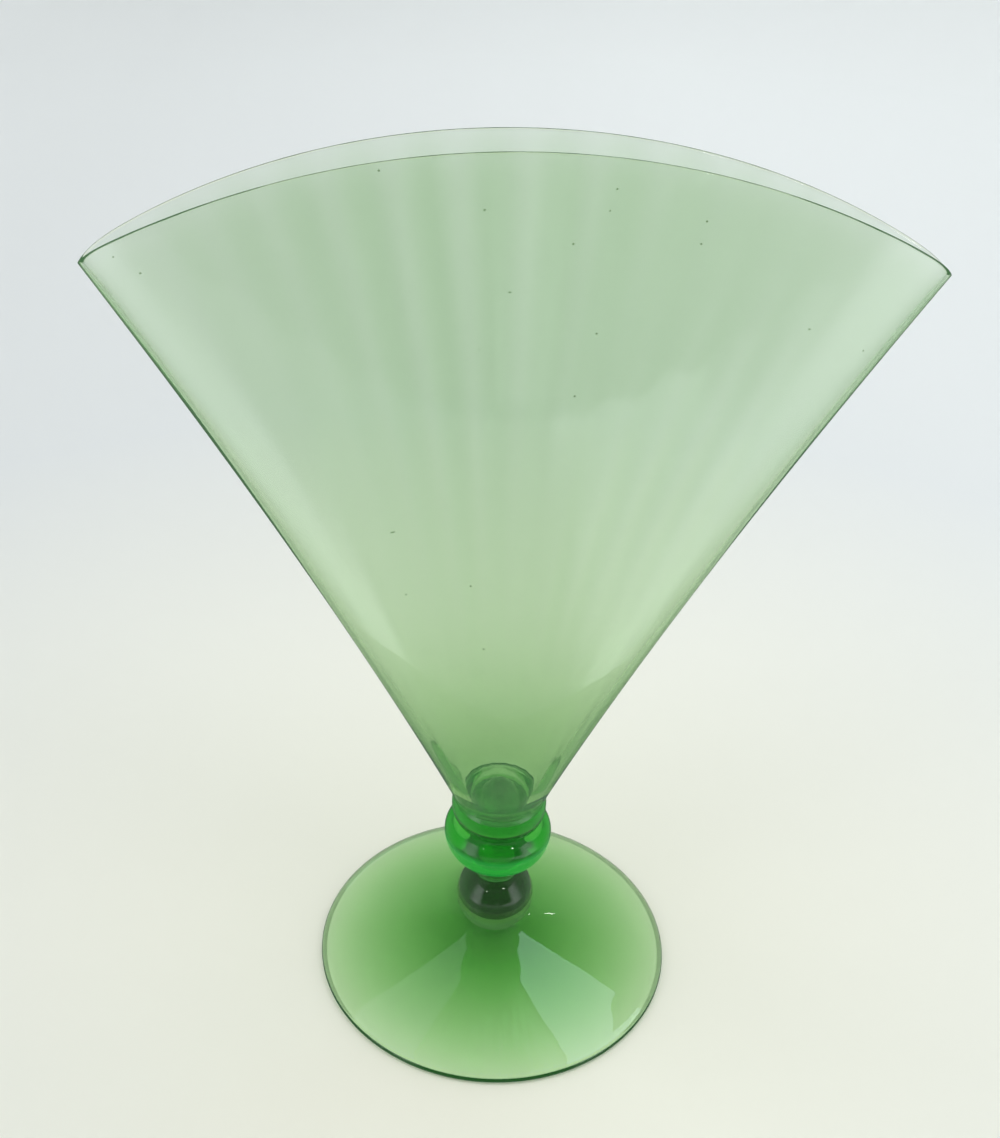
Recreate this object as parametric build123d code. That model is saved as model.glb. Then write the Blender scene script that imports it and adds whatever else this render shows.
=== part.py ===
from build123d import *
import math
import numpy
import os

os.makedirs("parts", exist_ok=True)

# A fan vase of green blown glass: six gathers of glass, each welded hot on the one below.
# Millimetres, +Z up, the table at Z = 0, the stem on the Z axis and the fan spread along X.

# Foot: a spread disc, thin at its rim and thick under the stem, hollowed below so that it stands on a ring
foot_diameter = 91.0
foot_height = 10.0
foot_rim_thickness = 1.8
foot_shoulder_diameter = 20.0
foot_shoulder_height = 8.3
foot_ring_width = 2.0
foot_hollow_depth = 1.2
pontil_diameter = 20.0
pontil_depth = 0.7

# Lower knop: the small ball that stands on the foot
lower_knop_diameter = 20.0
lower_knop_height = 17.4
lower_knop_equator = 8.7
lower_knop_weld_diameter = 10.4

# Wafer: the thin disc between the two knops
wafer_diameter = 12.8
wafer_thickness = 4.2
wafer_weld_diameter = 11.4

# Upper knop: the large flattened ball
upper_knop_diameter = 27.0
upper_knop_height = 14.0
upper_knop_equator = 9.1
upper_knop_weld_diameter = 21.6

# Collar: the thick disc that carries the rounded end of the bowl in a shallow cup
collar_overhang = 0.4
collar_thickness = 7.2
collar_equator = 3.9
cup_ring_width = 1.4
cup_depth = 4.2
cup_flat_diameter = 10.0

# Bowl: the fan, measured over its outside faces
bowl_base_diameter = 22.8
fan_width = 174.7
fan_height = 135.8
arch_rise = 23.6
side_sag = 2.07
mouth_depth = 19.0
belly_swell = 3.0

# Bowl: the glass itself, thick at the base and in the folds, thin at the rim
floor_thickness = 2.4
base_wall = 3.9
rim_wall = 1.6
rim_fold_wall = 1.9
thick_base_share = 0.18
fold_radius = 1.2
fold_inner_radius = 0.5
floor_corner_radius = 1.2
nub_diameter = 10.4
nub_height = 5.4
rim_polish_radius = 0.5

# Bowl: the optic ribs, which stand inwards from the inner face and fan out from the base to the rim
rib_count = 30
rib_depth = 0.3

# The plan of the bowl is a circle at its base and a pointed oval at its rim: both powers are 2 on a circle
circle_power = 2
rim_length_power = 2.15
rim_depth_power = 1.5

# Levels at which the bowl's plan is drawn, as shares of its height, the last a little above the arch
level_shares = (0, 0.05, 0.12, 0.22, 0.35, 0.5, 0.65, 0.8, 0.92, 1.04)
points_per_quarter = 45
crowding_at_fold = 1.3
measuring_steps = 400
run_shares = numpy.linspace(0, 1, points_per_quarter) ** crowding_at_fold

# The stack of pieces, from the table up
lower_knop_base = foot_height
wafer_base = lower_knop_base + lower_knop_height
upper_knop_base = wafer_base + wafer_thickness
collar_base = upper_knop_base + upper_knop_height
bowl_base = collar_base + collar_thickness
tip_level = bowl_base + fan_height
bowl_height = fan_height + arch_rise
floor_level = bowl_base - cup_depth + floor_thickness

# The collar and its cup follow the base of the bowl, which they carry
collar_diameter = bowl_base_diameter + 2 * collar_overhang
cup_diameter = bowl_base_diameter - 2 * cup_ring_width


def blend(start, end, share):
    """The value a share of the way from start to end."""
    return start + (end - start) * share


def turned(*edges):
    """A solid turned about the stem's axis from an outline drawn as radius and level."""
    outline = Curve() + list(edges)
    return revolve(make_face(Plane.XZ * outline), Axis.Z)


def knop(base, height, equator, diameter, lower_weld, upper_weld):
    """A ball with a flat at each weld. Its two arcs leave the equator upright."""
    top = base + height
    widest = (diameter / 2, base + equator)
    below = TangentArc(widest, (lower_weld / 2, base), tangent=(0, -1))
    above = TangentArc(widest, (upper_weld / 2, top), tangent=(0, 1))
    core = Polyline((lower_weld / 2, base), (0, base), (0, top), (upper_weld / 2, top))
    return turned(below, above, core)


def rounded_end():
    """The rounded lower end of the bowl, which is also the cup that it fills."""
    cup_floor = bowl_base - cup_depth
    rim_point = (cup_diameter / 2, bowl_base)
    flat_point = (cup_flat_diameter / 2, cup_floor)
    side = TangentArc(rim_point, flat_point, tangent=(0, -1))
    return turned(side, Polyline(flat_point, (0, cup_floor), (0, bowl_base), rim_point))


def make_foot():
    """The foot: a rounded rim, a low cone, a flare up to the stem, a hollow and the ground pontil mark."""
    rim_radius = (foot_diameter - foot_rim_thickness) / 2
    rim_below = (rim_radius, 0)
    rim_above = (rim_radius, foot_rim_thickness)
    rim_middle = (foot_diameter / 2, foot_rim_thickness / 2)
    shoulder = (foot_shoulder_diameter / 2, foot_shoulder_height)
    weld = (lower_knop_weld_diameter / 2, foot_height)
    slope = (shoulder[0] - rim_above[0], shoulder[1] - rim_above[1])
    ring_inside = (rim_radius - foot_ring_width, 0)
    pontil_edge = (pontil_diameter / 2, foot_hollow_depth)
    pontil_top = (0, foot_hollow_depth + pontil_depth)
    rim = ThreePointArc(rim_below, rim_middle, rim_above)
    cone = Line(rim_above, shoulder)
    flare = TangentArc(shoulder, weld, tangent=slope)
    core = Polyline(weld, (0, foot_height), pontil_top)
    pontil = TangentArc(pontil_top, pontil_edge, tangent=(1, 0))
    hollow = Polyline(pontil_edge, ring_inside, rim_below)
    return turned(rim, cone, flare, core, pontil, hollow)


def make_collar():
    """The collar: a disc with a bulging edge, hollowed to take the rounded end of the bowl."""
    disc = knop(
        collar_base,
        collar_thickness,
        collar_equator,
        collar_diameter,
        upper_knop_weld_diameter,
        bowl_base_diameter,
    )
    return disc - rounded_end()


def half_width(level):
    """Half the fan's width: straight from the base to the tip, bowed inwards by side_sag."""
    rise = (level - bowl_base) / fan_height
    straight = blend(bowl_base_diameter / 2, fan_width / 2, rise)
    return straight - 4 * side_sag * rise * (1 - rise)


def half_depth(level):
    """Half the fan's depth, front to back: it swells a little between the base and the rim."""
    share = (level - bowl_base) / bowl_height
    straight = blend(bowl_base_diameter / 2, mouth_depth / 2, share)
    return straight + 4 * belly_swell * share * (1 - share)


def quarter_points(level, side_wall, face_wall, fold, rib):
    """Points on a quarter of the bowl's plan, from the fold (+X) to the middle of a face, and its length.

    A pointed oval is drawn in from the outside by the walls, then grown outwards by the fold radius so
    that its ends are round. A cosine that counts the ribs all the way round moves the points in and out.
    """
    share = (level - bowl_base) / bowl_height
    length_power = blend(circle_power, rim_length_power, share)
    depth_power = blend(circle_power, rim_depth_power, min(1, 2 * share))
    length = half_width(level) - side_wall - fold
    depth = half_depth(level) - face_wall - fold
    angles = numpy.linspace(0, math.pi / 2, measuring_steps)
    along = length * numpy.cos(angles) ** (2 / length_power)
    across = depth * numpy.sin(angles) ** (2 / depth_power)
    normal_x = length_power / length * (along / length) ** (length_power - 1)
    normal_y = depth_power / depth * (across / depth) ** (depth_power - 1)
    normal_size = numpy.hypot(normal_x, normal_y)
    along = along + fold * normal_x / normal_size
    across = across + fold * normal_y / normal_size
    run = numpy.append(0, numpy.cumsum(numpy.hypot(numpy.diff(along), numpy.diff(across))))
    x = numpy.interp(run_shares * run[-1], run, along)
    y = numpy.interp(run_shares * run[-1], run, across)
    rib_wave = numpy.cos(2 * math.pi * rib_count * (1 - run_shares) / 4)
    y = y + rib / 2 * rib_wave * y / depth
    x[-1] = 0
    return [(float(px), float(py)) for px, py in zip(x, y)], float(run[-1])


def plan(level, side_wall, face_wall, fold, rib):
    """The bowl's whole plan at a level: four quarters, one after the other round the stem's axis."""
    quarter, pace = quarter_points(level, side_wall, face_wall, fold, rib)
    from_fold = [float(share) for share in run_shares]
    to_fold = [1 - share for share in from_fold[::-1]]
    edges = []
    for x_side, y_side in ((1, 1), (-1, 1), (-1, -1), (1, -1)):
        points = [Vector(x_side * x, y_side * y, level) for x, y in quarter]
        if x_side == y_side:
            ends = [Vector(0, y_side * pace, 0), Vector(-x_side * pace, 0, 0)]
            edges.append(Edge.make_spline(points, tangents=ends, parameters=from_fold, scale=False))
        else:
            ends = [Vector(x_side * pace, 0, 0), Vector(0, -y_side * pace, 0)]
            edges.append(Edge.make_spline(points[::-1], tangents=ends, parameters=to_fold, scale=False))
    return make_face(edges)


def make_shell():
    """The outside of the bowl as a solid, up past its arch."""
    return loft([plan(bowl_base + share * bowl_height, 0, 0, fold_radius, 0) for share in level_shares])


def wall(thin_wall, share):
    """The wall a share of the way up: base_wall at the base, fading to thin_wall along a bell curve."""
    return blend(thin_wall, base_wall, math.exp(-((share / thick_base_share) ** 2)))


def make_cavity():
    """The room inside the bowl, down to the floor, with the ribs on its walls and the nub on its floor."""
    plans = [plan(floor_level, base_wall, base_wall, fold_inner_radius, 0)]
    for share in level_shares[1:]:
        side_wall = wall(rim_fold_wall, share)
        face_wall = wall(rim_wall, share)
        level = bowl_base + share * bowl_height
        plans.append(plan(level, side_wall, face_wall, fold_inner_radius, rib_depth * share))
    room = loft(plans)
    floor_edges = room.faces().sort_by(Axis.Z)[0].edges()
    room = fillet(floor_edges, floor_corner_radius)
    nub_top = (0, floor_level + nub_height)
    nub_side = (nub_diameter / 2, floor_level)
    dome = TangentArc(nub_top, nub_side, tangent=(1, 0))
    return room - turned(dome, Polyline(nub_side, (0, floor_level), nub_top))


def make_bowl():
    """The bowl: outside less inside, its rim cut to the arch through both tips and fire polished."""
    half_fan = fan_width / 2
    arch_radius = (half_fan**2 + arch_rise**2) / (2 * arch_rise)
    arch_level = tip_level + arch_rise - arch_radius
    arch = Location((0, 0, arch_level), (90, 0, 0)) * Cylinder(arch_radius, fan_width)
    glass = (make_shell() & arch) + rounded_end() - make_cavity()
    rim_edges = [edge for edge in glass.edges() if edge.bounding_box().min.Z > (bowl_base + tip_level) / 2]
    return fillet(rim_edges, rim_polish_radius)


pieces = {
    "foot": make_foot(),
    "lower_knop": knop(
        lower_knop_base,
        lower_knop_height,
        lower_knop_equator,
        lower_knop_diameter,
        lower_knop_weld_diameter,
        wafer_weld_diameter,
    ),
    "knop_wafer": knop(
        wafer_base,
        wafer_thickness,
        wafer_thickness / 2,
        wafer_diameter,
        wafer_weld_diameter,
        wafer_weld_diameter,
    ),
    "upper_knop": knop(
        upper_knop_base,
        upper_knop_height,
        upper_knop_equator,
        upper_knop_diameter,
        wafer_weld_diameter,
        upper_knop_weld_diameter,
    ),
    "collar": make_collar(),
    "bowl": make_bowl(),
}

for name, piece in pieces.items():
    export_step(piece, f"parts/{name}.step")
    corner = piece.bounding_box()
    print(name, "volume", round(piece.volume), "mm3, top at", round(corner.max.Z, 1), "mm")
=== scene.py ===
# %% [markdown]
# A green glass fan vase.
# The real vase is built from six gathers of one green glass, each put on the last while both are hot:
# a spread foot, a small ball, a thin wafer, a large ball, a collar and the blown fan itself.
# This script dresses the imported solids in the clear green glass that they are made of.
# Every length below is written in millimetres and turned into metres where a mesh is made.

# %% Load the frame
import bpy
import math
import numpy as np
from mathutils import Matrix


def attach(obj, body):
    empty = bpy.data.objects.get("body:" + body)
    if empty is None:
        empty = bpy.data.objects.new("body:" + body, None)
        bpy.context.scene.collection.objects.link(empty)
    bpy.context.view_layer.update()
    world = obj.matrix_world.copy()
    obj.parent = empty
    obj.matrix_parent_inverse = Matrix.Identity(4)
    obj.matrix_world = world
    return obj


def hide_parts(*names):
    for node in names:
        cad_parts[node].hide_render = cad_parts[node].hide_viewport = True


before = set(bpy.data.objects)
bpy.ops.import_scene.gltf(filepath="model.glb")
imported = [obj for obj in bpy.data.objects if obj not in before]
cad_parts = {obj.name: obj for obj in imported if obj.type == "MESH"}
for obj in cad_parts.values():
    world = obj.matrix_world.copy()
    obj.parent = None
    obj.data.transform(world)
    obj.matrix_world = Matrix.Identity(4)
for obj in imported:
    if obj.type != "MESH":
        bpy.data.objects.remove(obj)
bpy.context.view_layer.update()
scene = bpy.context.scene
MM = 0.001

# %% [markdown]
# The sizes of the vase, with the names that they have in the solids.
# The stack is counted from the table up, so each piece starts where the one below it ends.
# Five things differ a little from the solids, as fire rounds the real glass: the inner fold radius, the outer
# ribs, the rim's roll, the wall's thinning below the rim, and the drop that rounds the two tips.

# %% Sizes of the vase
foot_diameter, foot_height, foot_rim_thickness = 91.0, 10.0, 1.8
foot_shoulder_diameter, foot_shoulder_height = 20.0, 8.3
foot_ring_width, foot_hollow_depth = 2.0, 1.2
foot_flare_reach, foot_ring_softness = 3.4, 0.5
pontil_diameter, pontil_depth = 20.0, 0.7
lower_knop_diameter, lower_knop_height, lower_knop_equator = 20.0, 17.4, 8.7
lower_knop_weld_diameter, wafer_weld_diameter, upper_knop_weld_diameter = 10.4, 11.4, 21.6
wafer_diameter, wafer_thickness = 12.8, 4.2
upper_knop_diameter, upper_knop_height, upper_knop_equator = 27.0, 14.0, 9.1
collar_overhang, collar_thickness, collar_equator = 0.4, 7.2, 3.9
cup_ring_width, cup_depth, cup_flat_diameter = 1.4, 4.2, 10.0
bowl_base_diameter, fan_width, fan_height, arch_rise = 22.8, 174.7, 135.8, 23.6
side_sag, mouth_depth, belly_swell = 2.07, 19.0, 3.0
floor_thickness, base_wall, rim_wall, rim_fold_wall, thick_base_share = 2.4, 3.9, 1.6, 1.9, 0.18
floor_corner_radius, nub_diameter, nub_height = 1.2, 10.4, 5.4
fold_radius, fold_inner_radius = 1.2, 0.9
rib_count, rib_depth, outer_rib_depth = 30, 0.3, 0.12
rim_length_power, rim_depth_power = 2.15, 1.5
rim_round, rim_thinning, rim_thinning_run = 0.55, 0.4, 3.0
tip_drop, tip_run = 1.4, 2.2
weld_overlap = 0.02

lower_knop_base = foot_height
wafer_base = lower_knop_base + lower_knop_height
upper_knop_base = wafer_base + wafer_thickness
collar_base = upper_knop_base + upper_knop_height
bowl_base = collar_base + collar_thickness
collar_diameter = bowl_base_diameter + 2 * collar_overhang
cup_diameter = bowl_base_diameter - 2 * cup_ring_width
bowl_height = fan_height + arch_rise
tip_level = bowl_base + fan_height
cup_floor = bowl_base - cup_depth
floor_level = cup_floor + floor_thickness
print("the tips stand at", round(tip_level, 1), "mm and the arch at", round(bowl_base + bowl_height, 1), "mm")

# %% [markdown]
# Two helpers make every piece.
# A closed grid has rows of points that run round the piece, a single point below the first row and a
# single point above the last, so no seam and no hole is left.
# A turned piece is such a grid whose rows are circles, like work on a lathe.


# %% Mesh helpers
def link_mesh(name, points, faces):
    """A smooth object at the origin, from points in millimetres and faces that list them."""
    mesh = bpy.data.meshes.new(name)
    mesh.from_pydata((points * MM).tolist(), [], faces)
    mesh.polygons.foreach_set("use_smooth", np.ones(len(mesh.polygons), dtype=bool))
    mesh.validate()
    piece = bpy.data.objects.new(name, mesh)
    scene.collection.objects.link(piece)
    return piece


def closed_grid(name, rows, first_pole, last_pole):
    """Rows of points (row, column, xyz) joined round and along, closed by a fan of triangles at each pole."""
    count, columns = rows.shape[:2]
    points = np.concatenate([rows.reshape(-1, 3), [first_pole], [last_pole]])
    here = np.arange(count * columns).reshape(count, columns)
    beside = np.roll(here, -1, axis=1)
    quads = np.stack([here[:-1], beside[:-1], beside[1:], here[1:]], axis=-1).reshape(-1, 4)
    bottom = np.stack([beside[0], here[0], np.full(columns, count * columns)], axis=-1)
    top = np.stack([here[-1], beside[-1], np.full(columns, count * columns + 1)], axis=-1)
    print(name, "has", len(quads) * 2 + 2 * columns, "triangles")
    return link_mesh(name, points, quads.tolist() + bottom.tolist() + top.tolist())


def rings(radius, level, turn):
    """Points (ring, column, xyz) about the stem's axis: a ring has a radius and level, a column a turn."""
    radius, level = radius[:, None], level[:, None]
    return np.stack([radius * np.cos(turn), radius * np.sin(turn), level + 0 * turn], axis=-1)


def turned(name, profile, columns=160):
    """A profile of (radius, level) points, from the lower pole to the upper, turned about the stem's axis."""
    angles = np.linspace(0, 2 * math.pi, columns, endpoint=False)
    rows = rings(profile[1:-1, 0], profile[1:-1, 1], angles)
    return closed_grid(name, rows, (0, 0, profile[0, 1]), (0, 0, profile[-1, 1]))


def point_values(piece, name, values):
    """One number for each point of a piece, which a material reads by its name."""
    layer = piece.data.attributes.new(name, "FLOAT", "POINT")
    layer.data.foreach_set("value", np.asarray(values, dtype=np.float32))


# %% [markdown]
# Outlines are drawn with arcs and bends.
# An arc is a run of points on a circle, and a bend is a parabola between two points that leans on a corner.
# Corners of hot glass are never sharp, so a third helper turns each corner of an outline into a small bend.


# %% Helpers for outlines
def arc(start, end, centre, steps):
    """Points on a circle about centre, from start to end the short way, both ends included."""
    first = math.atan2(start[1] - centre[1], start[0] - centre[0])
    last = math.atan2(end[1] - centre[1], end[0] - centre[0])
    turn = (last - first + math.pi) % (2 * math.pi) - math.pi
    angles = first + turn * np.linspace(0, 1, steps)
    radius = math.dist(start, centre)
    return np.stack([centre[0] + radius * np.cos(angles), centre[1] + radius * np.sin(angles)], axis=-1)


def bend_points(start, corner, end, steps):
    """Points of a parabola from start to end that leaves and arrives along the lines to the corner."""
    share = np.linspace(0, 1, steps)[:, None]
    return (1 - share) ** 2 * start + 2 * share * (1 - share) * corner + share**2 * end


def softened(profile, radius, steps=7):
    """Each corner that turns more than a little becomes a bend between the points one radius away."""
    almost_straight, longest_share = 0.97, 0.45
    points = [np.array(p, float) for p in profile]
    out = [points[0]]
    for before, corner, after in zip(points, points[1:], points[2:]):
        back, ahead = before - corner, after - corner
        back_length, ahead_length = np.hypot(*back), np.hypot(*ahead)
        if -back @ ahead / (back_length * ahead_length) > almost_straight:
            out.append(corner)
            continue
        reach = min(radius, longest_share * back_length, longest_share * ahead_length)
        enter, leave = corner + back / back_length * reach, corner + ahead / ahead_length * reach
        out.extend(bend_points(enter, corner, leave, steps))
    out.append(points[-1])
    return np.array(out)


# %% [markdown]
# Materials are built from nodes.
# One helper adds a node and fills its inputs with numbers or with links from other nodes, and two more
# make the kinds that are used most: a sum, and a number carried from one range to another.


# %% Node helpers
def fill(tree, node, inputs):
    """Inputs by name or place: an output of another node is linked, and anything else is set as it is."""
    for key, value in inputs.items():
        if isinstance(value, bpy.types.NodeSocket):
            tree.links.new(value, node.inputs[key])
        else:
            node.inputs[key].default_value = value


def add(tree, kind, inputs, **settings):
    """A new node of a kind, with its settings made before its inputs are filled."""
    node = tree.nodes.new(kind)
    for key, value in settings.items():
        setattr(node, key, value)
    fill(tree, node, inputs)
    return node


def math_node(tree, operation, *values):
    """One sum of numbers or links."""
    return add(tree, "ShaderNodeMath", dict(enumerate(values)), operation=operation).outputs[0]


def range_node(tree, value, start, end, low=0.0, high=1.0, kind="LINEAR"):
    """A number carried from start and end to low and high, and held beyond them."""
    inputs = {"Value": value, "From Min": start, "From Max": end, "To Min": low, "To Max": high}
    return add(tree, "ShaderNodeMapRange", inputs, interpolation_type=kind).outputs["Result"]


def colour_mix(tree, factor, colour_a, colour_b):
    """A colour that goes from a to b with the factor."""
    inputs = {"Factor": factor, "A": colour_a, "B": colour_b}
    return add(tree, "ShaderNodeMix", inputs, data_type="RGBA").outputs["Result"]


def attribute(tree, name):
    """The number that each point of the mesh carries under a name, and 0 where there is none."""
    return add(tree, "ShaderNodeAttribute", {}, attribute_name=name).outputs["Fac"]


def new_material(name):
    """A material, its node tree and its shader."""
    material = bpy.data.materials.new(name)
    material.use_nodes = True
    return material, material.node_tree, material.node_tree.nodes["Principled BSDF"]


# %% [markdown]
# The surface of the glass.
# It is smooth, but hand work leaves long soft waves in it, which a bump of slow noise gives.
# Tiny dark seeds, which are specks caught in the melt, come from the middles of scattered cells.
# They are drawn in the fan's outer skin only, or each would be seen twice in the same wall.


# %% A node group for the waves and seeds of blown glass
def blown_surface_group():
    """Waves are slow noise. Seeds are 1 in a small dot about some cell centres, on the outer skin only."""
    group = bpy.data.node_groups.new("blown_surface", "ShaderNodeTree")
    usual = {"Wave Scale": 30.0, "Seed Scale": 60.0, "Seed Size": 0.012, "Seed Share": 0.1}
    for name, value in usual.items():
        socket = group.interface.new_socket(name, in_out="INPUT", socket_type="NodeSocketFloat")
        socket.default_value = value
    for name in ("Wave", "Seed"):
        group.interface.new_socket(name, in_out="OUTPUT", socket_type="NodeSocketFloat")
    given = group.nodes.new("NodeGroupInput").outputs
    place = add(group, "ShaderNodeTexCoord", {}).outputs["Object"]
    wave = add(group, "ShaderNodeTexNoise", {"Vector": place, "Scale": given["Wave Scale"], "Detail": 1.0})
    seed_plane = (math.pi / 2, 0.6, 0.0)
    flat = add(group, "ShaderNodeMapping", {"Vector": place, "Rotation": seed_plane}).outputs["Vector"]
    spread = {"Vector": flat, "Scale": given["Seed Scale"]}
    cells = add(group, "ShaderNodeTexVoronoi", spread, voronoi_dimensions="2D").outputs
    near = math_node(group, "LESS_THAN", cells["Distance"], given["Seed Size"])
    draw = add(group, "ShaderNodeSeparateColor", {"Color": cells["Color"]}).outputs["Red"]
    chosen = math_node(group, "LESS_THAN", draw, given["Seed Share"])
    both = math_node(group, "MULTIPLY", near, chosen)
    seed = math_node(group, "MULTIPLY", both, attribute(group, "outer_skin"))
    add(group, "NodeGroupOutput", {"Wave": wave.outputs["Fac"], "Seed": seed})
    return group


blown_surface = blown_surface_group()

# %% [markdown]
# The glass itself.
# Green glass is coloured all the way through, so a thin wall looks pale and a solid ball dark.
# That is why its colour is given as absorption inside the piece and not as paint on its surface.
# Light that crosses this glass loses more of its red and blue than of its green. The absorption node takes
# one density and a colour, and what it removes per metre is the density times one minus the colour, so the
# colour is worked out from the three losses.
# Light that is caught between the faces runs along the wall and leaks out of it all the way, so the edges of
# coloured glass look lit. A weak glow inside, also given per metre, stands for that.
# One melt is used for the whole vase, but thick and thin pieces catch light differently, so five tunings of
# it follow, lit and shaded copies of one glass that carry painted light and shade in their losses and glows:
# for the fan, for the wafer and the collar, for each ball and for the foot.
# The upper ball also glows below its shoulder, a painted glow in its surface for light that the foot sends
# up.

# %% The glass material
density = 240.0
glass_ior = 1.5
seed_tint = (0.22, 0.3, 0.16, 1.0)
painted_glow_colour = (0.006, 0.171, 0.023, 1.0)
clear_white, plain_black = (1.0, 1.0, 1.0, 1.0), (0.0, 0.0, 0.0, 1.0)


def green_glass(name, loss, glow, wave_height=0.08, wave_scale=60.0, seed_share=0.0):
    """Clear smooth glass with waves and seeds, and inside it the losses and the glow of each colour."""
    material, tree, shader = new_material(name)
    surface_inputs = {"Wave Scale": wave_scale, "Seed Share": seed_share}
    surface = add(tree, "ShaderNodeGroup", surface_inputs, node_tree=blown_surface).outputs
    waves = {"Strength": 1.0, "Distance": wave_height * MM, "Height": surface["Wave"]}
    finish = {
        "Roughness": 0.0,
        "IOR": glass_ior,
        "Transmission Weight": 1.0,
        "Base Color": colour_mix(tree, surface["Seed"], clear_white, seed_tint),
        "Normal": add(tree, "ShaderNodeBump", waves).outputs["Normal"],
        # Emission in the surface is a painted glow, only where a piece's points carry one.
        "Emission Color": colour_mix(tree, attribute(tree, "painted_caught_light"), plain_black, painted_glow_colour),
        "Emission Strength": 1.0,
    }
    fill(tree, shader, finish)
    kept = (*[1 - part / density for part in loss], 1.0)
    inside = add(tree, "ShaderNodeVolumeAbsorption", {"Density": density, "Color": kept}).outputs["Volume"]
    strongest = max(glow)
    lit = {"Strength": strongest, "Color": (*[part / strongest for part in glow], 1.0)}
    lit_inside = add(tree, "ShaderNodeEmission", lit).outputs["Emission"]
    together = add(tree, "ShaderNodeAddShader", {0: inside, 1: lit_inside})
    fill(tree, tree.nodes["Material Output"], {"Volume": together.outputs["Shader"]})
    return material


blown_glass = green_glass("blown_green_glass", (186.0, 114.0, 229.0), (9.0, 17.0, 11.0), 0.25, 30.0, 0.3)
solid_glass = green_glass("solid_green_glass", (175.0, 50.0, 190.0), (1.4, 2.6, 2.0))
ball_glass = green_glass("ball_green_glass", (162.0, 54.0, 176.0), (1.0, 2.0, 1.5))
foot_glass = green_glass("foot_green_glass", (150.0, 48.0, 186.0), (2.2, 3.9, 2.8))
# The lower ball's copy loses about twice the green of the others, as painted shade.
shaded_knop_glass = green_glass("shaded_knop_green_glass", (170.0, 98.0, 190.0), (2.2, 3.2, 2.2))
print("made", [m.name for m in (blown_glass, solid_glass, ball_glass, foot_glass, shaded_knop_glass)])


def dress(piece, node, material):
    """The piece takes the given material, rides on the one body and stands in for its solid, which is hidden.
    """
    piece.data.materials.append(material)
    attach(piece, "root")
    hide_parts(node)


# %% [markdown]
# The foot is a gather spread flat while it spins: thin at the rim, thick under the stem, a bit hollow below.
# Its outline is the pontil mark, the hollow, the ring it stands on, the round rim, a straight cone and a bend
# up to the weld, turned about the stem's axis.

# %% The foot
rim_centre, half_rim = (foot_diameter - foot_rim_thickness) / 2, foot_rim_thickness / 2
rim_angles = np.linspace(-math.pi / 2, math.pi / 2, 15)
rim_curve = np.stack(
    [rim_centre + half_rim * np.cos(rim_angles), half_rim * (1 + np.sin(rim_angles))],
    axis=-1,
)
shoulder = np.array((foot_shoulder_diameter / 2, foot_shoulder_height))
cone_share = np.linspace(0, 1, 24)[1:, None]
cone = rim_curve[-1] * (1 - cone_share) + shoulder * cone_share
slope = (shoulder - rim_curve[-1]) / np.hypot(*(shoulder - rim_curve[-1]))
foot_weld = np.array((lower_knop_weld_diameter / 2, foot_height))
flare = bend_points(shoulder, shoulder + slope * foot_flare_reach, foot_weld, 20)[1:]
pontil_share = np.linspace(0, 1, 10)
pontil = np.stack(
    [pontil_share * pontil_diameter / 2, foot_hollow_depth + pontil_depth * (1 - pontil_share**2)],
    axis=-1,
)
ring_inside = (rim_centre - foot_ring_width, 0)
under = softened([pontil[-1], ring_inside, rim_curve[0], rim_curve[1]], foot_ring_softness)[1:-1]
weld_ring = (0.6 * foot_weld[0], foot_height)
foot_profile = np.concatenate([pontil, under, rim_curve[1:], cone, flare, [weld_ring, (0, foot_height)]])
foot = turned("foot_glass", foot_profile, 220)
dress(foot, "foot", foot_glass)

# %% [markdown]
# The balls, the wafer and the collar are gathers squeezed and rolled while they turn.
# Each outline is two circle arcs that leave the widest ring upright and end at the welds.
# Its first point reaches a hair into the piece below, so that light crosses one weld and no gap.


# %% The balls and the wafer
def knop_side(base, height, equator, diameter, lower_weld, upper_weld, steps=28):
    """The outline of a ball: the lower arc, then the upper, each on a circle centred at the widest ring."""
    widest = (diameter / 2, base + equator)

    def centre_to(point):
        across, along = point[0] - widest[0], point[1] - widest[1]
        return (widest[0] + (across**2 + along**2) / (2 * across), widest[1])

    low, high = (lower_weld / 2, base), (upper_weld / 2, base + height)
    below = arc(low, widest, centre_to(low), steps)
    above = arc(widest, high, centre_to(high), steps)
    side = np.concatenate([below, above[1:]])
    side[0, 1] -= weld_overlap
    return side


def knop(name, side, columns=160):
    """A ball whose outline is closed across both welds, with two rings on each for an even mesh."""
    shares = np.array((0.0, 0.5, 0.9))
    low = np.stack([shares * side[0, 0], np.full(3, side[0, 1])], axis=-1)
    high = np.stack([shares * side[-1, 0], np.full(3, side[-1, 1])], axis=-1)
    return turned(name, np.concatenate([low, side, high[::-1]]), columns)


lower_side = knop_side(
    lower_knop_base,
    lower_knop_height,
    lower_knop_equator,
    lower_knop_diameter,
    lower_knop_weld_diameter,
    wafer_weld_diameter,
)
dress(knop("lower_knop_glass", lower_side), "lower_knop", shaded_knop_glass)

wafer_side = knop_side(
    wafer_base,
    wafer_thickness,
    wafer_thickness / 2,
    wafer_diameter,
    wafer_weld_diameter,
    wafer_weld_diameter,
)
dress(knop("knop_wafer_glass", wafer_side), "knop_wafer", solid_glass)

upper_side = knop_side(
    upper_knop_base,
    upper_knop_height,
    upper_knop_equator,
    upper_knop_diameter,
    wafer_weld_diameter,
    upper_knop_weld_diameter,
)
upper_knop = knop("upper_knop_glass", upper_side, 200)
dress(upper_knop, "upper_knop", ball_glass)
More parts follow.
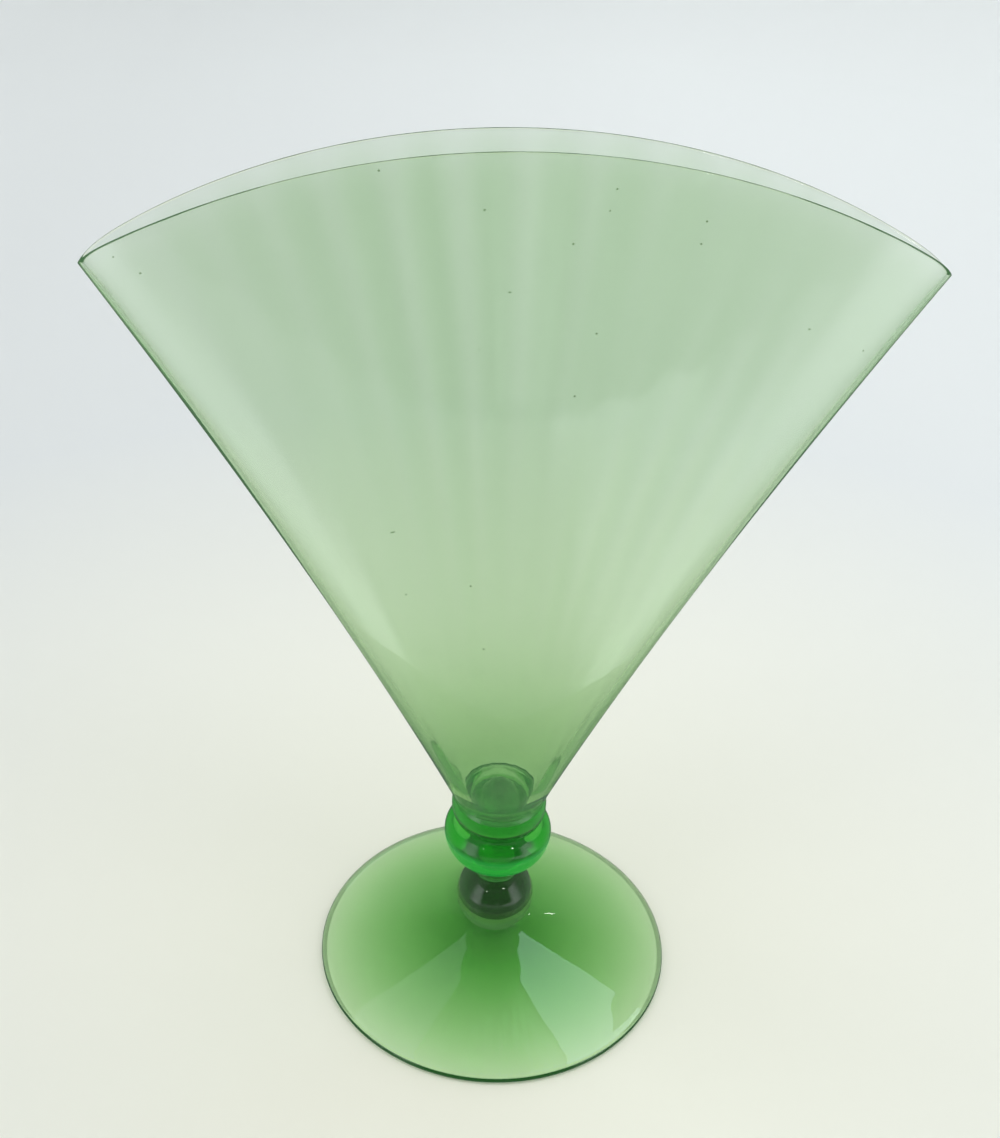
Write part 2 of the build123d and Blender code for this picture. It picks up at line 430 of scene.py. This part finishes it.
# The upper ball's painted glow: full in its lower part, fading out just above its widest ring.
painted_glow_top, painted_glow_fade = 41.8, 1.2
knop_level = np.array([vertex.co.z for vertex in upper_knop.data.vertices]) / MM
point_values(upper_knop, "painted_caught_light", np.clip((painted_glow_top - knop_level) / painted_glow_fade, 0, 1))

# %% [markdown]
# The collar is hollowed above by the round end of the bowl, so its outline comes back down into a cup.

# %% The collar
cup_reach = (cup_diameter - cup_flat_diameter) / 2
cup_round = (cup_depth**2 + cup_reach**2) / (2 * cup_reach)
cup_centre = (cup_diameter / 2 - cup_round, bowl_base)


def cup_arc(steps):
    """The cup's side, from the edge of its flat floor up to its mouth."""
    return arc((cup_flat_diameter / 2, cup_floor), (cup_diameter / 2, bowl_base), cup_centre, steps)


collar_side = knop_side(
    collar_base,
    collar_thickness,
    collar_equator,
    collar_diameter,
    upper_knop_weld_diameter,
    bowl_base_diameter,
)
collar_under = [(0, collar_side[0, 1]), (0.5 * collar_side[0, 0], collar_side[0, 1])]
collar_floor = [(0.5 * cup_flat_diameter / 2, cup_floor), (0, cup_floor)]
collar_profile = np.concatenate([collar_under, collar_side, cup_arc(24)[::-1], collar_floor])
collar = turned("collar_glass", collar_profile, 200)
dress(collar, "collar", solid_glass)

# %% [markdown]
# The fan is a bubble blown in a ribbed mould, opened, pressed flat and sheared to an arch.
# Seen from above, each level of it is a pointed oval with round ends. The inner one carries the ribs, and
# the outer one shows them faintly.
# A table of such ovals, level by level, gives any point of the wall.


# %% Plans of the fan
def blend(start, end, share):
    """The value a share of the way from start to end."""
    return start + (end - start) * share


def half_width(level):
    """Half the fan's width: straight from the base to the tip, bowed inwards a little."""
    rise = (level - bowl_base) / fan_height
    return blend(bowl_base_diameter / 2, fan_width / 2, rise) - 4 * side_sag * rise * (1 - rise)


def half_depth(level):
    """Half the fan's depth, which swells a little between the base and the rim."""
    share = (level - bowl_base) / bowl_height
    return blend(bowl_base_diameter / 2, mouth_depth / 2, share) + 4 * belly_swell * share * (1 - share)


def quarter(level, side_wall, face_wall, fold, shares):
    """A quarter of a plan at even shares of its length: a pointed oval grown outwards by the fold radius."""
    share = (level - bowl_base) / bowl_height
    length_power = blend(2, rim_length_power, share)
    depth_power = blend(2, rim_depth_power, min(1, 2 * share))
    length, depth = half_width(level) - side_wall - fold, half_depth(level) - face_wall - fold
    angles = np.linspace(0, math.pi / 2, 700)
    along = length * np.cos(angles) ** (2 / length_power)
    across = depth * np.sin(angles) ** (2 / depth_power)
    normal_x = length_power / length * (along / length) ** (length_power - 1)
    normal_y = depth_power / depth * (across / depth) ** (depth_power - 1)
    size = np.hypot(normal_x, normal_y)
    along, across = along + fold * normal_x / size, across + fold * normal_y / size
    run = np.append(0, np.cumsum(np.hypot(np.diff(along), np.diff(across))))
    x, y = np.interp(shares * run[-1], run, along), np.interp(shares * run[-1], run, across)
    x[-1], y[0] = 0, 0
    return np.stack([x, y], axis=-1)


def wall(thin_wall, share):
    """The wall a share of the way up: thick at the base, fading to its thin value along a bell curve."""
    return blend(thin_wall, base_wall, math.exp(-((share / thick_base_share) ** 2)))


# %% The wall as a table of levels
quarter_steps, crowding_to_fold = 96, 1.9
run_shares = np.linspace(0, 1, quarter_steps + 1) ** crowding_to_fold
table_levels = np.linspace(bowl_base, bowl_base + bowl_height, 180)


def wall_table(inner):
    """The quarter plans at every level of the table, outer or inner, as (level, step, xy)."""
    plans = []
    wave = np.cos(2 * math.pi * rib_count * (1 - run_shares) / 4)
    for level in table_levels:
        share = (level - bowl_base) / bowl_height
        side = wall(rim_fold_wall, share) if inner else 0
        face = wall(rim_wall, share) if inner else 0
        plan = quarter(level, side, face, fold_inner_radius if inner else fold_radius, run_shares)
        fullness = share * plan[:, 1] / plan[-1, 1]
        if inner:
            plan[:, 1] += rib_depth / 2 * wave * fullness
        else:
            plan[:, 1] -= outer_rib_depth / 2 * (1 + wave) * fullness
        plans.append(plan)
    return np.array(plans)


outer_table, inner_table = wall_table(False), wall_table(True)
print("each table has", outer_table.shape[0], "levels of", outer_table.shape[1], "points")


def wall_points(table, level):
    """Points of a quarter wall at the given levels (row, step), read from the table by linear steps."""
    place = (level - bowl_base) / bowl_height * (len(table_levels) - 1)
    low = np.clip(np.floor(place).astype(int), 0, len(table_levels) - 2)
    share = (place - low)[..., None]
    column = np.broadcast_to(np.arange(table.shape[1]), level.shape)
    flat = table[low, column] * (1 - share) + table[low + 1, column] * share
    return np.concatenate([flat, level[..., None]], axis=-1)


# %% [markdown]
# The rim is where the wall meets a large arch through both tips.
# Each column of the wall is followed up to that arch by a few rounds of guess and correct.
# The tips are rounded by letting the arch drop a little right at the fold, as the torch does.

# %% The arch of the rim
arch_radius = ((fan_width / 2) ** 2 + arch_rise**2) / (2 * arch_rise)
arch_centre = tip_level + arch_rise - arch_radius
rim_level = np.full((1, quarter_steps + 1), tip_level + arch_rise / 2)
for _ in range(40):
    rim_x = wall_points(outer_table, rim_level)[0, :, 0]
    arch_here = arch_centre + np.sqrt(arch_radius**2 - rim_x**2)
    rim_level = (arch_here - tip_drop * np.exp((rim_x - rim_x[0]) / tip_run))[None, :]
print("the rim runs from", rim_level.min().round(1), "to", rim_level.max().round(1), "mm")

# %% [markdown]
# The fire polish rounds the rim, so the two walls are joined by half an oval over the top.
# Close to the rim the inner wall leans outwards, which thins the glass there.
# Below, the outer wall ends in the round foot of the bubble, and the inner one in a floor with a nub,
# which the glassmaker's tool pushed up.

# %% The fan's quarter, row by row
climb = np.linspace(0, 1, 84)[:, None] ** 0.9
outer_level = bowl_base + climb * (rim_level - rim_round - bowl_base)
outer_rows = wall_points(outer_table, outer_level)
inner_start = floor_level + floor_corner_radius
inner_level = inner_start + climb[::-1] * (rim_level - rim_round - inner_start)
inner_rows = wall_points(inner_table, np.maximum(inner_level, bowl_base))
inner_rows[..., 2] = inner_level
outside_here = wall_points(outer_table, np.maximum(inner_level, bowl_base))
thinning = rim_thinning * np.exp((inner_level - rim_level) / rim_thinning_run)[..., None]
inner_rows[..., :2] += ((outside_here - inner_rows) * thinning)[..., :2]
middle = (outer_rows[-1] + inner_rows[0]) / 2
half_wall = (outer_rows[-1] - inner_rows[0]) / 2
roll = np.linspace(0, math.pi, 15)[1:-1, None, None]
fullness_power = 0.85
roll_across = np.sign(np.cos(roll)) * np.abs(np.cos(roll)) ** fullness_power
rim_rows = middle + half_wall * roll_across + np.array((0, 0, rim_round)) * np.sin(roll) ** fullness_power
print("outer", outer_rows.shape, "rim", rim_rows.shape, "inner", inner_rows.shape)

# %% Round rows of the foot of the bubble, the floor and the nub
base_direction = outer_table[0] / np.hypot(outer_table[0, :, 0], outer_table[0, :, 1])[:, None]


def round_rows(profile):
    """Rows of a quarter turned from (radius, level) points, along the same columns as the wall."""
    radius, level = profile[:, 0][:, None, None], profile[:, 1][:, None, None]
    return np.concatenate([radius * base_direction, level + 0 * base_direction[None, :, :1]], axis=-1)


end_arc = cup_arc(16)
end_outward = (end_arc - np.array(cup_centre)) / cup_round
end_profile = np.concatenate(
    [
        [(radius, cup_floor - weld_overlap) for radius in (1.2, 3.4)],
        end_arc + end_outward * weld_overlap,
        [(radius, bowl_base - weld_overlap) for radius in (10.3, 11.1)],
    ]
)
corner_turn = np.linspace(0, math.pi / 2, 8)[1:]
floor_radius = bowl_base_diameter / 2 - base_wall
corner_profile = np.stack(
    [
        floor_radius - floor_corner_radius * (1 - np.cos(corner_turn)),
        floor_level + floor_corner_radius * (1 - np.sin(corner_turn)),
    ],
    axis=-1,
)
nub_across = np.linspace(1.06, 0.04, 18)
nub_profile = np.stack(
    [
        nub_across * nub_diameter / 2,
        floor_level + nub_height * np.clip(1 - nub_across**2, 0, 1) ** 0.6,
    ],
    axis=-1,
)
floor_rows = [round_rows(corner_profile), round_rows(nub_profile)]
quarter_rows = np.concatenate([round_rows(end_profile), outer_rows, rim_rows, inner_rows, *floor_rows])
print("a quarter of the fan has", quarter_rows.shape[:2], "points")

# %% [markdown]
# The other three quarters are mirror images, joined into whole rows before the mesh is made.

# %% The fan
right_back = quarter_rows
left_back = quarter_rows[:, ::-1] * np.array((-1, 1, 1))
left_front = quarter_rows * np.array((-1, -1, 1))
right_front = quarter_rows[:, ::-1] * np.array((1, -1, 1))
quarters = (right_back, left_back, left_front, right_front)
fan_rows = np.concatenate([rows[:, :-1] for rows in quarters], axis=1)
fan = closed_grid(
    "fan_bowl_glass",
    fan_rows,
    (0, 0, cup_floor - weld_overlap),
    (0, 0, floor_level + nub_height),
)
dress(fan, "bowl", blown_glass)
skin_rows = len(end_profile) + len(outer_rows)
point_values(fan, "outer_skin", np.arange(len(fan.data.vertices)) < skin_rows * fan_rows.shape[1])

# %% [markdown]
# The stage is made of two sheets, each a set of rings round the stem's axis.
# The first is a round sheet of pale paper whose edge curves up into a low wall all the way round.
# It lies a hair below the foot, so the two faces never share a plane, and it isn't mirrored in the glass.
# Its colour carries painted light: it is cream near the vase and a cooler grey further off, as in soft
# daylight, and paler to the right.
# Clear glass passes light on to the paper below it and gathers it there, most near the foot's rim. A faint
# light in the paper under the foot stands for that, and a soft shade behind the stem for what the stem keeps.


# %% A sheet of the stage
def stage_sheet(name, points, material, closed):
    """Rings of points joined into a sheet. A closed one runs all the way round and has a middle."""
    here = np.arange(points[..., 0].size).reshape(points.shape[:2])
    beside = np.roll(here, -1, axis=1)
    quads = np.stack([here[:-1], here[1:], beside[1:], beside[:-1]], axis=-1)
    corners = points.reshape(-1, 3)
    if closed:
        middle_fan = np.stack([here[0], beside[0], np.full(here.shape[1], here.size)], axis=-1)
        faces = quads.reshape(-1, 4).tolist() + middle_fan.tolist()
        corners = np.concatenate([corners, [(0, 0, points[0, 0, 2])]])
    else:
        faces = quads[:, :-1].reshape(-1, 4).tolist()
    stage_piece = link_mesh(name, corners, faces)
    stage_piece.data.materials.append(material)
    print(name, "has", len(faces), "faces")
    return stage_piece


# %% The paper's material
paper_near_colour, paper_far_colour = (0.98, 0.97, 0.83, 1.0), (0.82, 0.84, 0.83, 1.0)
paper_near_radius, paper_far_radius = 40.0, 340.0
paper_side_reach, paper_left_level, paper_right_level = 250.0, 0.94, 1.04
gathered_light = (0.97, 1.0, 0.86)
light_below_middle, light_below_rim = 0.04, 0.27
light_middle_radius, light_rim_radius, light_edge = 10.0, 40.0, foot_diameter / 2 - 1.5
shade_middle, shade_width, shade_length, shade_depth = 15.0, 12.0, 16.0, 0.45
shade_core, shade_edge = 0.1, 1.1

paper_material, paper_tree, paper_shader = new_material("pale_paper")
paper_place = add(paper_tree, "ShaderNodeTexCoord", {}).outputs["Object"]


def distance_from_middle(place):
    """How far a place on the paper is from the origin."""
    return add(paper_tree, "ShaderNodeVectorMath", {0: place}, operation="LENGTH").outputs["Value"]


def scaled(colour, amount):
    """A colour of the paper made brighter or darker."""
    inputs = {0: colour, "Scale": amount}
    return add(paper_tree, "ShaderNodeVectorMath", inputs, operation="SCALE").outputs["Vector"]


# Painted light: the paper's colour is brighter and creamier near the vase and a darker grey further off.
paper_far = distance_from_middle(paper_place)
paper_share = range_node(paper_tree, paper_far, paper_near_radius * MM, paper_far_radius * MM)
paper_ramp = add(paper_tree, "ShaderNodeValToRGB", {"Fac": paper_share})
paper_ramp.color_ramp.elements[0].color = paper_near_colour
paper_ramp.color_ramp.elements[1].color = paper_far_colour
# Painted light: the paper is darker to the left and paler to the right.
paper_x = add(paper_tree, "ShaderNodeSeparateXYZ", {"Vector": paper_place}).outputs["X"]
paper_reach = paper_side_reach * MM
painted_side_light = range_node(paper_tree, paper_x, -paper_reach, paper_reach, paper_left_level, paper_right_level)
stem_frame = {
    "Vector": paper_place,
    "Location": (0.0, -shade_middle / shade_length, 0.0),
    "Scale": (1 / (shade_width * MM), 1 / (shade_length * MM), 1.0),
}
stem_far = distance_from_middle(add(paper_tree, "ShaderNodeMapping", stem_frame).outputs["Vector"])
stem_shade = range_node(paper_tree, stem_far, shade_core, shade_edge, shade_depth, kind="SMOOTHSTEP")
below_foot = math_node(paper_tree, "LESS_THAN", paper_far, light_edge * MM)
light_range = (light_middle_radius * MM, light_rim_radius * MM, light_below_middle, light_below_rim)
brighter = range_node(paper_tree, paper_far, *light_range)
gathered = math_node(paper_tree, "MULTIPLY", below_foot, brighter)
paper_shade = math_node(paper_tree, "MULTIPLY", painted_side_light, stem_shade)
paper_inputs = {
    "Roughness": 0.9,
    "Specular IOR Level": 0.0,
    "Base Color": scaled(paper_ramp.outputs["Color"], paper_shade),
    "Emission Color": scaled(gathered_light, math_node(paper_tree, "MULTIPLY", gathered, stem_shade)),
    "Emission Strength": 1.0,
}
fill(paper_tree, paper_shader, paper_inputs)

# %% The paper
paper_flat, paper_bend, paper_wall_top, paper_gap = 1200.0, 300.0, 950.0, 0.2
bend_turn = np.linspace(0, math.pi / 2, 24)[1:]
bend_across, bend_up = np.sin(bend_turn), 1 - np.cos(bend_turn)
paper_radius = np.concatenate(
    [[60, 150, 300, 600, paper_flat], paper_flat + paper_bend * bend_across, [paper_flat + paper_bend]]
)
paper_level = np.concatenate([np.zeros(5), paper_bend * bend_up, [paper_wall_top]]) - paper_gap
paper_points = rings(paper_radius, paper_level, np.linspace(0, 2 * math.pi, 96, endpoint=False))
paper = stage_sheet("round_paper", paper_points, paper_material, closed=True)
paper.visible_glossy = False

# %% [markdown]
# In front of the vase the paper ends and a dim room begins, which only the glass sees.
# A sheet that the camera can't see stands for it, as painted shade and light that only the glass shows: it is
# dim straight in front and pale at both sides, with a sunlit patch to the right and a doorway further off.
# So the flat faces look deeper in colour and both folded edges carry a pale band.
# Seen through the glass and not mirrored in it, the room is paler, or the fan looks smoky from behind.

# %% The dim room's material
seen_through, seen_through_level = 0.7, 0.85
room_material, room_tree, room_shader = new_material("dim_room_glow")
room_tree.nodes.remove(room_shader)
room_path = add(room_tree, "ShaderNodeLightPath", {}).outputs
room_level = {
    "Factor": math_node(room_tree, "MULTIPLY", room_path["Is Transmission Ray"], seen_through),
    "A": attribute(room_tree, "glow"),
    "B": seen_through_level,
}
room_light = {
    "Color": (0.95, 0.98, 1.0, 1.0),
    "Strength": add(room_tree, "ShaderNodeMix", room_level).outputs["Result"],
}
room_emission = add(room_tree, "ShaderNodeEmission", room_light).outputs["Emission"]
fill(room_tree, room_tree.nodes["Material Output"], {"Surface": room_emission})


# %% The dim room in front
def step(value, low, high):
    """A smooth climb from 0 at low to 1 at high."""
    share = np.clip((value - low) / (high - low), 0, 1)
    return share * share * (3 - 2 * share)


def band(value, enter, full, leaving, left):
    """A smooth climb from 0 at enter to 1 at full, and down again from leaving to left."""
    return step(value, enter, full) * (1 - step(value, leaving, left))


room_start, room_inset, room_lift = 110, 10, 0.6
room_floor_steps = 55
floor_end, sunlit_across = (420, 450), (60, 100, 190, 250)
doorway_turn, doorway_ahead = (0, 2, 7, 9), (460, 480, 1400, 1420)
aside_turn, far_aside_turn = (38, 52), (58, 84)
gloom_level, floor_level_added, sun_level_added, door_level_added = 0.06, 0.42, 0.85, 0.5
aside_level, aside_level_lost = 1.9, 1.5
room_radius = np.concatenate(
    [
        np.linspace(room_start, paper_flat - room_inset, room_floor_steps),
        paper_flat - room_inset + (paper_bend - room_inset) * bend_across,
        [paper_flat + paper_bend - 2 * room_inset],
    ]
)
room_rise = np.concatenate([np.zeros(room_floor_steps), paper_bend * bend_up]) + room_lift
room_rise = np.append(room_rise, paper_wall_top)
room_turn = np.linspace(-88, 88, 177)
room_points = rings(room_radius, room_rise, np.radians(room_turn) - math.pi / 2)
across, ahead = room_points[..., 0], -room_points[..., 1]
turn_here = room_turn[None, :] + 0 * across
near_floor = 1 - step(ahead, *floor_end)
sunlit = band(across, *sunlit_across) * near_floor
doorway = band(turn_here, *doorway_turn) * band(ahead, *doorway_ahead)
aside = step(np.abs(turn_here), *aside_turn)
front_glow = gloom_level + floor_level_added * near_floor
front_glow = front_glow + sun_level_added * sunlit + door_level_added * doorway
side_glow = aside_level - aside_level_lost * step(np.abs(turn_here), *far_aside_turn)
dim_room = stage_sheet("dim_room", room_points, room_material, closed=False)
point_values(dim_room, "glow", blend(front_glow, side_glow, aside).reshape(-1))
dim_room.visible_camera, dim_room.visible_diffuse, dim_room.visible_shadow = False, False, False

# %% [markdown]
# Soft daylight falls from above and from both sides.
# The room behind the vase and the corner where the camera stands are darker.
# That is what the solid balls of the stem gather into their dark bands.
# Mirrored in the glass, the sky is dimmer than it lights, as if the vase stood well inside a room.
# A ray that passes smooth glass counts as mirrored too, so those that pass are taken off again.

# %% The sky
dark_sky, bright_sky = (0.06, 0.06, 0.055, 1.0), (0.97, 0.98, 1.0, 1.0)
sky_strength, mirrored_strength = 1.5, 0.35
camera_corner, behind_room, side_windows = (-0.6, -0.4), (0.34, 0.2), (0.5, 0.66)
sky_below_top, low_sky_level = (0.66, 0.56), 0.5
world = bpy.data.worlds.new("soft_room")
scene.world = world
world.use_nodes = True
sky_tree = world.node_tree
sky_place = add(sky_tree, "ShaderNodeTexCoord", {}).outputs["Generated"]
sky_axes = add(sky_tree, "ShaderNodeSeparateXYZ", {"Vector": sky_place}).outputs
front_side = range_node(sky_tree, sky_axes["Y"], *camera_corner, kind="SMOOTHSTEP")
back_side = range_node(sky_tree, sky_axes["Y"], *behind_room, kind="SMOOTHSTEP")
above = math_node(sky_tree, "MINIMUM", front_side, back_side)
sky_aside = math_node(sky_tree, "ABSOLUTE", sky_axes["X"])
both_sides = range_node(sky_tree, sky_aside, *side_windows, kind="SMOOTHSTEP")
low_sky = range_node(sky_tree, sky_axes["Z"], *sky_below_top, 0.0, low_sky_level, kind="SMOOTHSTEP")
high_sky = math_node(sky_tree, "MAXIMUM", above, both_sides)
sky_level = math_node(sky_tree, "MAXIMUM", high_sky, low_sky)
sky_path = add(sky_tree, "ShaderNodeLightPath", {}).outputs
mirrored = math_node(sky_tree, "SUBTRACT", sky_path["Is Glossy Ray"], sky_path["Is Transmission Ray"])
sky_inputs = {
    "Color": colour_mix(sky_tree, sky_level, dark_sky, bright_sky),
    "Strength": range_node(sky_tree, mirrored, 0.0, 1.0, sky_strength, mirrored_strength),
}
fill(sky_tree, sky_tree.nodes["Background"], sky_inputs)


# %% [markdown]
# Two windows high behind the vase light the paper and give the foot its shadow.
# Three small lamps give the balls and the foot their highlights. The glass mirrors them, and the paper and
# what is seen through the glass don't show them.


# %% The lamps
def standing(right, up, back, place):
    """The matrix of an object at place (millimetres) whose own axes point right, up and back."""
    matrix = np.eye(4)
    matrix[:3, :3] = np.stack([right, up, back], axis=-1)
    matrix[:3, 3] = np.array(place) * MM
    return Matrix(matrix.tolist())


def soft_light(name, place, width, height, power, colour):
    """A rectangular lamp at place, turned so that it shines at the foot of the stem."""
    lamp = bpy.data.lights.new(name, "AREA")
    lamp.shape, lamp.size, lamp.size_y = "RECTANGLE", width * MM, height * MM
    lamp.energy, lamp.color = power, colour
    holder = bpy.data.objects.new(name, lamp)
    back = np.array(place, float) - lamp_aim
    back = back / np.linalg.norm(back)
    side = np.cross((0, 0, 1), back)
    side = side / np.linalg.norm(side)
    holder.matrix_world = standing(side, np.cross(back, side), back, place)
    holder.visible_camera = False
    scene.collection.objects.link(holder)
    return holder


def from_stem(turn, rise, distance):
    """A place as seen from the stem: turn in degrees from straight behind to the right, rise above level."""
    turn, rise = math.radians(turn), math.radians(rise)
    flat = distance * math.cos(rise)
    return (flat * math.sin(turn), flat * math.cos(turn), distance * math.sin(rise))


lamp_aim = np.array((0, 0, 20))
bulb_distance, bulb_colour = 1400, (1.0, 0.98, 0.94)
soft_light("window", (345, 640, 1300), 430, 440, 1.5, (0.72, 0.9, 1.0))
soft_light("far_window", (-250, 560, 1300), 330, 400, 0.35, (0.85, 0.95, 1.0))
for name, turn, rise, size, power in (
    ("bulb_left", -146, 30, 80, 0.58),
    ("bulb_right", 150, 39, 80, 0.58),
    ("bulb_back", 26, 36, 14, 0.009),
):
    bulb = soft_light(name, from_stem(turn, rise, bulb_distance), size, size, power, bulb_colour)
    bulb.visible_diffuse, bulb.visible_transmission = False, False
    print(name, "is", size, "mm wide and gives", power, "W")

# %% [markdown]
# The camera stands at the front left, looking down at the vase by about thirty degrees.
# Its place was found by fitting the foot's outline, both tips and both rims.

# %% Camera
azimuth, elevation, roll = math.radians(-5.080), math.radians(31.458), math.radians(2.513)
camera_distance, aim_across, aim_level = 302.45, -2.32, 117.55
focal_pixels, image_width = 1350.0, 1000.0
level_reach = math.cos(elevation)
forward = np.array((-math.sin(azimuth) * level_reach, math.cos(azimuth) * level_reach, -math.sin(elevation)))
level_right = np.array((math.cos(azimuth), math.sin(azimuth), 0.0))
level_up = np.cross(level_right, forward)
camera_right = math.cos(roll) * level_right + math.sin(roll) * level_up
camera_up = -math.sin(roll) * level_right + math.cos(roll) * level_up
camera_place = aim_across * level_right + np.array((0, 0, aim_level)) - camera_distance * forward
lens = bpy.data.cameras.new("camera")
lens.sensor_fit, lens.sensor_width = "HORIZONTAL", 36.0
lens.lens = focal_pixels * lens.sensor_width / image_width
lens.clip_start, lens.clip_end = 0.01, 20.0
camera = bpy.data.objects.new("camera", lens)
camera.matrix_world = standing(camera_right, camera_up, -forward, camera_place)
scene.collection.objects.link(camera)
scene.camera = camera
print("the camera stands at", camera_place.round(1).tolist(), "mm")

# %% [markdown]
# Light crosses many glass surfaces here, so paths may be long, and the last grain is smoothed away.

# %% Render settings that belong to the scene
scene.view_settings.view_transform = "Standard"
scene.cycles.max_bounces = 32
scene.cycles.transmission_bounces = 32
scene.cycles.glossy_bounces = 24
scene.cycles.diffuse_bounces = 4
scene.cycles.use_denoising = True
